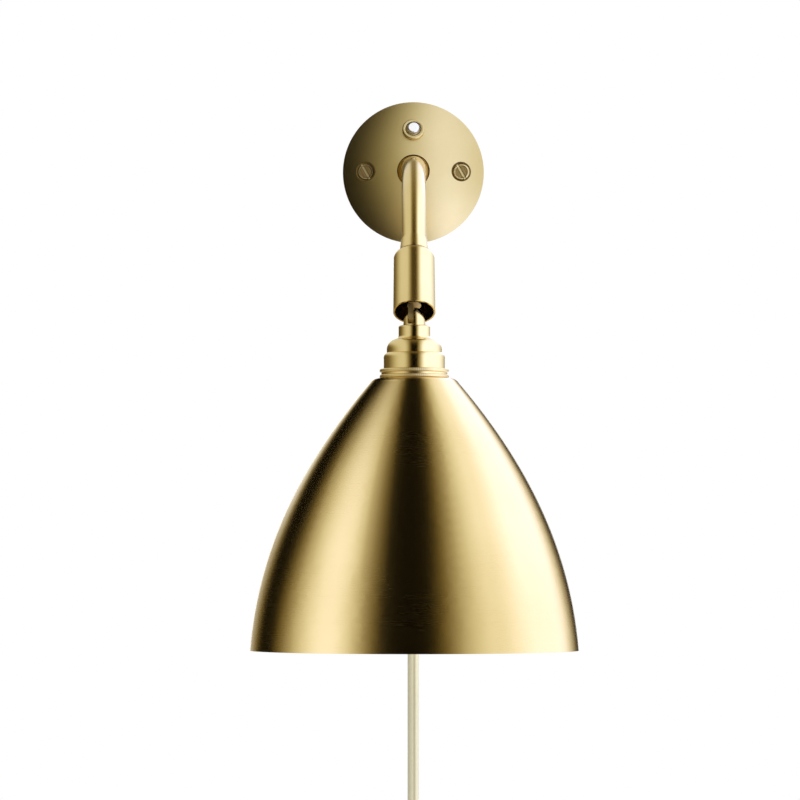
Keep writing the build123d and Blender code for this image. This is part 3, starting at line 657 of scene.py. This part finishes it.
# Blasted brass, as on the rose: matt, with a fine even grain, and painted shade, a dark
# brown, in the two recesses that the cover screws sit in.
def blastedBrass(name, look):
    shader = newMaterial(name)
    spot = shader.place()
    x, _, z = shader.parts(spot)
    grain = shader.noise(spot, look["grain"], detail=2.0, roughness=0.6)
    cloud = shader.noise(spot, look["drift"])
    worn = cloud.ease(*patchEdge) * blasted["patchTone"] + grain * blasted["grainTone"]
    tone = shader.mix(worn, brass["rosePale"], brass["roseDeep"])
    beside = x.size() - screws["offset"]
    # Painted shade in the recesses round the cover screws.
    recess = within((beside * beside + z * z) ** 0.5, screws["recess"], screws["recessEdge"])
    return finish(shader, {
        "Base Color": shader.mix(recess, tone, brass["recess"]), "Metallic": 1.0,
        "Roughness": look["roughness"] + (grain - 0.5) * blasted["grainGloss"],
        "Normal": shader.bump(grain, look["relief"]),
    })


# A cover screw: its face filed in lines along the slot and dished inside its rim, a
# painted highlight on the slot's floor with painted shade along its edges, and painted
# shade over the left screw. Across and along are measured from its middle.
def filedBrass(name):
    s = screws
    shader = newMaterial(name)
    turned = shader.turn(shader.place(), "Y_AXIS", s["slotTurn"])
    x, _, z = shader.parts(turned)
    across = x.size() - s["offset"] * math.cos(s["slotTurn"])
    along = z.size() - s["offset"] * math.sin(s["slotTurn"])
    beside = across.size()
    lines = shader.noise(turned, s["lines"], detail=2.0, roughness=0.6, stretch=s["alongSlot"])
    slot = within(beside, s["slot"], s["slotEdge"])
    # Painted shade along the slot's edges.
    edge = within(beside, s["slot"], s["slotShadeEdge"]) - slot
    rim = ((across * across + along * along) ** 0.5).ease(s["dish"], s["dish"] + s["rimWidth"])
    worn = shader.mix(lines.ease(*s["lineEdge"]) * s["lineTone"], brass["filedDeep"], brass["filed"])
    # Painted highlight: the slot's floor takes the pale tone, as does the dish's rim.
    tone = shader.mix(slot.atLeast(rim * s["rimTone"]), worn, brass["rosePale"])
    # Painted shade: the left screw is darker.
    tone = shader.mix(x.ease(*s["leftShadeSide"]) * s["leftShade"], tone, brass["paintedShade"])
    tone = shader.mix(edge.atLeast(0) * s["slotShadeTone"], tone, brass["paintedShade"])
    return finish(shader, {
        "Base Color": tone, "Metallic": 1.0, "Roughness": s["roughness"] + (lines - 0.5) * s["lineGloss"],
        "Normal": shader.bump(rim * s["rimRelief"] + lines * s["lineRelief"], s["depth"]),
    })


dress(turnedBrass("spun shade brass", spunBrass, **shadeAxis), "shade")
dress(turnedBrass("turned cap brass", capBrass, **shadeAxis), "holder_cap")
dress(turnedBrass("turned fork brass", capBrass, dull=0.03, **shadeAxis), "fork", "fork_nut", "pivot_pin")
dress(turnedBrass("plain inner brass", capBrass, dull=0.08, **shadeAxis), "screw_shell", "centre_contact")
dress(turnedBrass("turned stud brass", capBrass, dull=0.42, **sleeveAxis), "swivel_stud", "arm_nut")
# Painted shade: the seat, inside the sleeve, is coloured dark all over.
dress(drawnBrass("brown seat brass", tubeBrass, allPaintedShade, **sleeveAxis), "swivel_seat")
dress(knurledBrass("knurled ring brass", rim=0.0169, count=110), "holder_ring", "shade_ring")
dress(knurledBrass("knurled inner ring brass", rim=0.0170, count=84), "inner_ring")
dress(drawnBrass("drawn tube brass", tubeBrass), "arm_tube", "arm_ferrule")
# Painted shade inside the sleeve's bore.
dress(drawnBrass("drawn sleeve brass", tubeBrass, boreRadius=0.0097, **sleeveAxis), "joint_sleeve")
dress(blastedBrass("blasted rose brass", roseBrass), "rose_cover", "switch_ring")
# Painted shade: the arm's foot, in the rose's hole, is coloured dark all over.
dress(drawnBrass("brown foot brass", dict(tubeBrass, grain=2400), allPaintedShade), "arm_foot")
dress(blastedBrass("collar brass", dict(roseBrass, roughness=0.34)), collarPiece)
dress(filedBrass("filed screw brass"), "cover_screws")

# Metal other than brass, with its own tone, gloss and grain.
plain = dict(patchTone=0.6, grainTone=0.3, grainGloss=0.12, broader=9)
zinc = dict(colour=(0.62, 0.62, 0.60), roughness=0.42, grain=1100, relief=6e-6, spangle=0.25)
steel = dict(colour=(0.66, 0.65, 0.63), roughness=0.28, grain=2400, relief=2e-6, spangle=0.15)
chrome = dict(colour=(0.90, 0.90, 0.95), roughness=0.24, grain=1500, relief=6e-7, spangle=0.06)
nickel = dict(colour=(0.72, 0.70, 0.66), roughness=0.24, grain=2200, relief=2e-6, spangle=0.15)


# A grain, a drift in tone and a little scatter in gloss.
def plainMetal(name, look):
    shader = newMaterial(name)
    spot = shader.place()
    grain = shader.noise(spot, look["grain"], roughness=0.6)
    cloud = shader.noise(spot, look["grain"] / plain["broader"], detail=2.0)
    worn = cloud.ease(*patchEdge) * plain["patchTone"] + grain * plain["grainTone"]
    deep = [c * (1 - look["spangle"]) for c in look["colour"]]
    return finish(shader, {
        "Base Color": shader.mix(worn, look["colour"], deep), "Metallic": 1.0,
        "Roughness": look["roughness"] + (grain - 0.5) * plain["grainGloss"],
        "Normal": shader.bump(grain, look["relief"]),
    })


dress(plainMetal("zinc plate", zinc), "wall_plate", "cord_clamp")
dress(plainMetal("bright steel", steel), "foot_screws", "clamp_screws", "swivel_clip")
dress(plainMetal("polished chrome", chrome), "push_button")
dress(plainMetal("nickel", nickel), "bulb_cap")

# Pins: moulded sleeves on the half next to the plug, bare nickel beyond.
pins = dict(
    sleeveLength=0.0103, sleeve=(0.78, 0.74, 0.60), metal=(0.74, 0.72, 0.68), edge=0.00005,
    sleeveRoughness=0.42, polish=0.2, grain=2500, grainGloss=0.08, relief=2e-6,
)


def makePinMaterial():
    shader = newMaterial("plug pins")
    spot = shader.place()
    sleeveEnd = plug["relief"] + plug["body"] - leadPoints()[-1][2] + pins["sleeveLength"]
    below = -shader.parts(spot)[2]
    bare = below.ease(sleeveEnd - pins["edge"], sleeveEnd + pins["edge"])
    grain = shader.noise(spot, pins["grain"], detail=2.0)
    rough = pins["sleeveRoughness"] - bare * pins["polish"]
    return finish(shader, {
        "Base Color": shader.mix(bare, pins["sleeve"], pins["metal"]), "Metallic": bare,
        "Roughness": rough + (grain - 0.5) * pins["grainGloss"],
        "Normal": shader.bump(grain, pins["relief"]),
    })


dress(makePinMaterial(), "plug_pins")

# Moulded plastic, glass and the lead's sheath. Drift is how much darker its patches are.
mould = dict(patches=45, grainGloss=0.12)
ivoryPlastic = dict(colour=(0.80, 0.76, 0.62), roughness=0.34, grain=2600, relief=3e-6, drift=0.07)
darkPlastic = dict(colour=(0.035, 0.033, 0.030), roughness=0.40, grain=2200, relief=4e-6, drift=0.07)
opalGlass = dict(colour=(0.88, 0.87, 0.83), roughness=0.14, grain=260, relief=1e-6, drift=0.02)


# A fine skin grain and a slow drift in tone; fixed holds any other socket's value.
def moulded(name, look, fixed=None):
    shader = newMaterial(name)
    spot = shader.place()
    grain = shader.noise(spot, look["grain"], detail=2.0)
    cloud = shader.noise(spot, mould["patches"])
    deep = [c * (1 - look["drift"]) for c in look["colour"]]
    return finish(shader, {
        "Base Color": shader.mix(cloud.ease(*patchEdge), look["colour"], deep),
        "Roughness": look["roughness"] + (grain - 0.5) * mould["grainGloss"],
        "Normal": shader.bump(grain, look["relief"]), **(fixed or {}),
    })


# Tie: a woven band, its threads crossing at one thread's width.
tie = dict(
    colour=(0.78, 0.75, 0.64), thread=0.0009, shade=0.72, weaveTone=0.5, fuzzTone=0.3, fuzz=5000,
    roughness=0.75, fuzzGloss=0.2, fuzzRelief=0.3, relief=0.00012,
)


def woven(name, look):
    shader = newMaterial(name)
    spot = shader.place()
    x, y, z = shader.parts(spot)
    wave = 2 * math.pi / look["thread"]
    weave = (x * wave).math("SINE") * ((z + y) * wave).math("SINE") * 0.5 + 0.5
    fuzz = shader.noise(spot, look["fuzz"], detail=2.0, roughness=0.6)
    deep = [c * look["shade"] for c in look["colour"]]
    worn = weave * look["weaveTone"] + fuzz * look["fuzzTone"]
    return finish(shader, {
        "Base Color": shader.mix(worn, look["colour"], deep),
        "Roughness": look["roughness"] + (fuzz - 0.5) * look["fuzzGloss"],
        "Normal": shader.bump(weave + fuzz * look["fuzzRelief"], look["relief"]),
    })


# Sheath of the lead: its two cores leave a faint shallow valley down its front, coloured darker as painted
# shade.
sheath = dict(
    colour=(0.80, 0.755, 0.53), paintedValleyShade=(0.56, 0.51, 0.34), valleyAt=0.0003, halfWidth=0.0011,
    fadeOut=0.01, depth=0.00025, patchTone=0.5, drift=0.07, roughness=0.38, grain=1800, grainRelief=0.012,
)


def makeSheath():
    s = sheath
    shader = newMaterial("lead sheath")
    spot = shader.place()
    x, _, z = shader.parts(spot)
    _, corner, _ = slantEnds()
    # Painted shade along the valley.
    valley = (x - s["valleyAt"]).size().ease(s["halfWidth"], 0)
    valley = valley * z.ease(corner[1], corner[1] + s["fadeOut"])
    grain = shader.noise(spot, s["grain"], detail=2.0)
    cloud = shader.noise(spot, mould["patches"])
    deep = [c * (1 - s["drift"]) for c in s["colour"]]
    tone = shader.mix(cloud.ease(*patchEdge) * s["patchTone"], s["colour"], deep)
    return finish(shader, {
        "Base Color": shader.mix(valley, tone, s["paintedValleyShade"]),
        "Roughness": s["roughness"] + (grain - 0.5) * mould["grainGloss"],
        "Normal": shader.bump(grain * s["grainRelief"] - valley, s["depth"]),
    })


# Push switch: a dark moulded body and a turned brass neck in the rose, in front of
# neckFrom above the wall.
switch = dict(neckFrom=0.0130, edge=0.0001, roughness=0.38, grain=2400, grainGloss=0.1, relief=3e-6)


def makeSwitchMaterial():
    s = switch
    shader = newMaterial("switch body and neck")
    spot = shader.place()
    above = -shader.parts(spot)[1]
    neck = above.ease(s["neckFrom"] - s["edge"], s["neckFrom"] + s["edge"])
    grain = shader.noise(spot, s["grain"], detail=2.0)
    return finish(shader, {
        "Base Color": shader.mix(neck, darkPlastic["colour"], brass["roseDeep"]), "Metallic": neck,
        "Roughness": s["roughness"] + (grain - 0.5) * s["grainGloss"],
        "Normal": shader.bump(grain, s["relief"]),
    })


leadPiece.data.materials.append(makeSheath().owner)
dress(moulded("ivory plastic", ivoryPlastic), glandPiece, plugPiece)
dress(woven("tie band", tie), "cord_tie")
dress(moulded("dark plastic", darkPlastic), "terminal_block", holderPiece)
dress(makeSwitchMaterial(), "switch_body")
dress(moulded("opal glass", opalGlass, {"Coat Weight": 0.4}), "bulb_glass")
print("materials:", len(bpy.data.materials))

# Studio: a pale floor below that fades out, a dark room in front and an even fill.
studio = dict(
    floorRadius=1.6, floorTone=(0.86, 0.86, 0.86), floorDrop=0.0005, floorFade=(0.45, 0.98), floorRings=24,
    floorAround=96, dark=(0.004, 0.003, 0.0015), fill=(0.60, 0.60, 0.60), behind=(0.975, 0.985),
)
softbox = dict(place=(1.5, -1.6, 0.9), aim=(0, -0.1, -0.2), size=1.4, power=38)
buttonLight = dict(place=(-0.12, -0.75, 0.90), aim=(0, -0.017, 0.021), size=1.0, power=1.25)


# A flat disc: rings at shares of the radius, each just below the object's foot.
def makeFloor():
    s = studio
    level = boxBefore[0].z - s["floorDrop"]
    radii = s["floorRadius"] * np.linspace(1, 0, s["floorRings"] + 1)[:-1]
    rows = turnedRows(np.stack([radii, np.full(s["floorRings"], level)], axis=1), s["floorAround"])
    floor = skin("floor", rows, ends=(False, True))
    shader = newMaterial("floor")
    x, y, _ = shader.parts(shader.place())
    edge = ((x * x + y * y) ** 0.5).ease(*(share * s["floorRadius"] for share in s["floorFade"]))
    matt = shader.add("ShaderNodeBsdfDiffuse", None, {"Color": s["floorTone"]})
    clear = shader.add("ShaderNodeBsdfTransparent")
    surface = shader.add("ShaderNodeMixShader", None, {0: edge, 1: matt, 2: clear})
    shader.end("ShaderNodeOutputMaterial", surface)
    dress(shader, floor)
    floor.visible_glossy = False


# Tents: spheres of light round the metal, seen by mirrors alone. A tent's level at a
# place depends on the way a mirror faces that sends it to the room, in degrees: rise is
# up, and across is right, as a side (round the plumb line) or a turn (straight across).
# Ranges are where a band starts and where it is full, or the other way round. Colours go
# by the level, warm where it is weak and cool where it is strong. Grow sets each tent a
# little outside the last.
tents = dict(centre=(0, -0.13, -0.12), radius=2.4, rings=24, around=48, rampSpan=2)
# The shade: a band on its left, a stronger one on its right, a thin one along its left edge.
shadeTent = dict(
    name="shadeTent", grow=1.0, across="side", foot=(17, 9), shoulder=(30, 42), top=(28, 48),
    shoulderSpread=0.25, footSpread=0.05, left=1.26, leftFrom=(10, 29), leftTo=(57, 31), leftTopLoss=0.8,
    right=1.15, rightFrom=(5, 29), rightMore=0.5, rightMoreFrom=(30, 46), rightTo=(79, 60),
    rightFootLoss=0.12, rim=0.9, rimFrom=(67, 80), rimFootLoss=0.4,
    colours={
        0.1: (1, 0.72, 0.14), 0.3: (1, 0.87, 0.56), 0.55: (1, 0.97, 0.86), 0.8: (1, 1.03, 1.05),
        1.15: (1, 1.08, 1.45), 1.6: (1, 1.05, 1.85),
    },
)
# The small turned parts: a faint band on the left and a bright one on the right, both
# wider on what faces up, and a little light over the crown.
smallTent = dict(
    name="smallTent", grow=1.02, across="turn", spread=0.00034, waist=(0, 33), waistGain=0.1, neck=(36, 52),
    leftFrom=(4, 20), left=0.64, leftTo=(60, 26), leftTail=0.16, leftTailTo=(98, 55),
    right=1.50, rightFrom=(3.5, 22), rightTo=(96, 45), rightTop=(35, 60), rightTopLoss=0.22,
    crown=0.28, crownFrom=(15, 75),
    colours={
        0.1: (1, 0.74, 0.25), 0.3: (1, 0.89, 0.62), 0.55: (1, 0.98, 0.84), 0.8: (1, 1.04, 1.12),
        1.0: (1, 1.12, 1.55), 1.6: (1, 1.14, 1.95),
    },
)
# The rose: one wide sweep from its dark left to its light right.
roseTent = dict(
    name="roseTent", grow=1.04, across="side", lean=0.12, bend=0.0056, level=1.08, sweep=(-46, 20),
    softness=1.6, edge=(24, 46), edgeLoss=0.24, lowRise=(0, 30), lowSide=(2, 24), lowGain=0.3,
    colours={
        0.1: (1, 0.82, 0.36), 0.3: (1, 0.91, 0.50), 0.55: (1, 0.98, 0.78), 0.8: (1, 1.03, 1.03),
        1.0: (1, 1.07, 1.35), 1.6: (1, 1.10, 1.75),
    },
)


def shadeLevel(t, side, rise):
    low = rise.ease(*t["foot"])
    away = -side * (rise.ease(*t["shoulder"]) * t["shoulderSpread"] + 1 - low * t["footSpread"])
    left = t["left"] * away.ease(*t["leftFrom"]) * away.ease(*t["leftTo"])
    left = left * (1 - t["leftTopLoss"] * rise.ease(*t["top"]))
    right = t["right"] * side.ease(*t["rightFrom"]) + t["rightMore"] * side.ease(*t["rightMoreFrom"])
    right = right * (1 - t["rightFootLoss"] * low) * side.ease(*t["rightTo"])
    return left + right + (t["rim"] - low * t["rimFootLoss"]) * (-side).ease(*t["rimFrom"])


def smallLevel(t, turn, rise):
    onLeft = (-turn).ease(*t["leftFrom"])
    onRight = turn.ease(*t["rightFrom"])
    away = -turn / (rise * rise * t["spread"] + 1)
    left = onLeft * (t["left"] * away.ease(*t["leftTo"]) + t["leftTail"] * away.ease(*t["leftTailTo"]))
    narrow = (rise.ease(*t["waist"]) * t["waistGain"] + 1) / (rise.ease(*t["neck"]) + 1)
    right = t["right"] * onRight * (turn * narrow).ease(*t["rightTo"])
    right = right * (1 - t["rightTopLoss"] * rise.ease(*t["rightTop"]))
    return left + right + t["crown"] * rise.ease(*t["crownFrom"]) * (1 - onRight) * (1 - onLeft)


def roseLevel(t, side, rise):
    turned = side + rise * t["lean"] - rise * rise * t["bend"]
    low = (-rise).ease(*t["lowRise"]) * side.ease(*t["lowSide"])
    sweep = t["level"] * turned.ease(*t["sweep"]) ** t["softness"]
    return sweep * (1 - t["edgeLoss"] * side.ease(*t["edge"])) * (1 + t["lowGain"] * low)


# A tent adds its light to the mirrors inside it and lets all rays pass. With p its
# place as shares of the radius, a mirror that sends p to the room faces p + (0, -1, 0).
def makeTent(tent, level):
    polar = np.linspace(0, math.pi, tents["rings"] + 2)[1:-1]
    radius = tents["radius"] * tent["grow"]
    profile = np.stack([radius * np.sin(polar), radius * np.cos(polar)], axis=1)
    rows = turnedRows(profile, tents["around"]) + np.array(tents["centre"])
    piece = skin(tent["name"], rows, sharp=180)
    shader = newMaterial(tent["name"])
    x, y, z = (part / radius for part in shader.parts(shader.place(tents["centre"])))
    forward = 1 - y
    flat = x * x + forward * forward
    rise = z.math("ARCTAN2", flat ** 0.5)
    if tent["across"] == "side":
        across = x.math("ARCTAN2", forward)
    else:
        across = (x / (flat + z * z) ** 0.5).math("ARCSINE")
    strength = level(tent, across * math.degrees(1), rise * math.degrees(1))
    span = tents["rampSpan"]  # a ramp ends at 1, so it takes the level and gives the colour divided by this
    stops = [(place / span, [c / span for c in colour]) for place, colour in tent["colours"].items()]
    colour = shader.add("ShaderNodeValToRGB", {"stops": stops}, {"Fac": strength * (1 / span)})
    light = shader.add("ShaderNodeEmission", None, {"Color": colour, "Strength": strength * span})
    clear = shader.add("ShaderNodeBsdfTransparent")
    shader.end("ShaderNodeOutputMaterial", shader.add("ShaderNodeAddShader", None, {0: light, 1: clear}))
    shader.owner.cycles.emission_sampling = "NONE"
    dress(shader, piece)
    piece.visible_camera = piece.visible_diffuse = piece.visible_shadow = piece.visible_transmission = False
    return piece


def makeLamp(name, lamp):
    data = bpy.data.lights.new(name, "AREA")
    data.size = lamp["size"]
    data.energy = lamp["power"]
    light = bpy.data.objects.new(name, data)
    light.location = lamp["place"]
    way = light.location - Vector(lamp["aim"])
    light.rotation_euler = way.to_track_quat("Z", "Y").to_euler()
    light.visible_camera = False
    bpy.context.collection.objects.link(light)
    return light


# Which pieces a light falls on, or which it leaves out.
def linkLight(light, pieces, wanted=True):
    group = bpy.data.collections.new("pieces of " + light.name)
    for piece in pieces:
        group.objects.link(piece)
    light.light_linking.receiver_collection = group
    for entry in group.collection_objects:
        entry.light_linking.link_state = "INCLUDE" if wanted else "EXCLUDE"


# The world: white behind the object, nearly dark on the room's side for mirrors, and
# an even soft fill for everything matt.
def makeWorld():
    world = bpy.data.worlds.new("studio")
    bpy.context.scene.world = world
    shader = Shader(world)
    y = shader.parts(shader.add("ShaderNodeTexCoord", output="Generated"))[1]
    camera, diffuse, glossy, through = (
        shader.add("ShaderNodeLightPath", output=f"Is {ray} Ray")
        for ray in ("Camera", "Diffuse", "Glossy", "Transmission")
    )
    white = camera.atLeast(glossy.atLeast(through) * y.ease(*studio["behind"]))
    soft = shader.mix(diffuse, studio["dark"], studio["fill"])
    wanted = {"Color": shader.mix(white, soft, (1, 1, 1)), "Strength": 1.0}
    sky = shader.add("ShaderNodeBackground", None, wanted)
    shader.end("ShaderNodeOutputWorld", sky)


makeFloor()
makeWorld()
roseNodes = ("rose_cover", "cover_screws", "switch_ring", "arm_foot", "push_button")
rosePieces = [nodes[name] for name in roseNodes] + [collarPiece]
linkLight(makeTent(shadeTent, shadeLevel), [nodes["shade"]])
linkLight(makeTent(smallTent, smallLevel), [nodes["shade"], *rosePieces], wanted=False)
linkLight(makeTent(roseTent, roseLevel), rosePieces)
makeLamp("softbox", softbox).visible_glossy = False
linkLight(makeLamp("buttonLight", buttonLight), [nodes["push_button"]])
print("studio set")

bpy.context.view_layer.update()
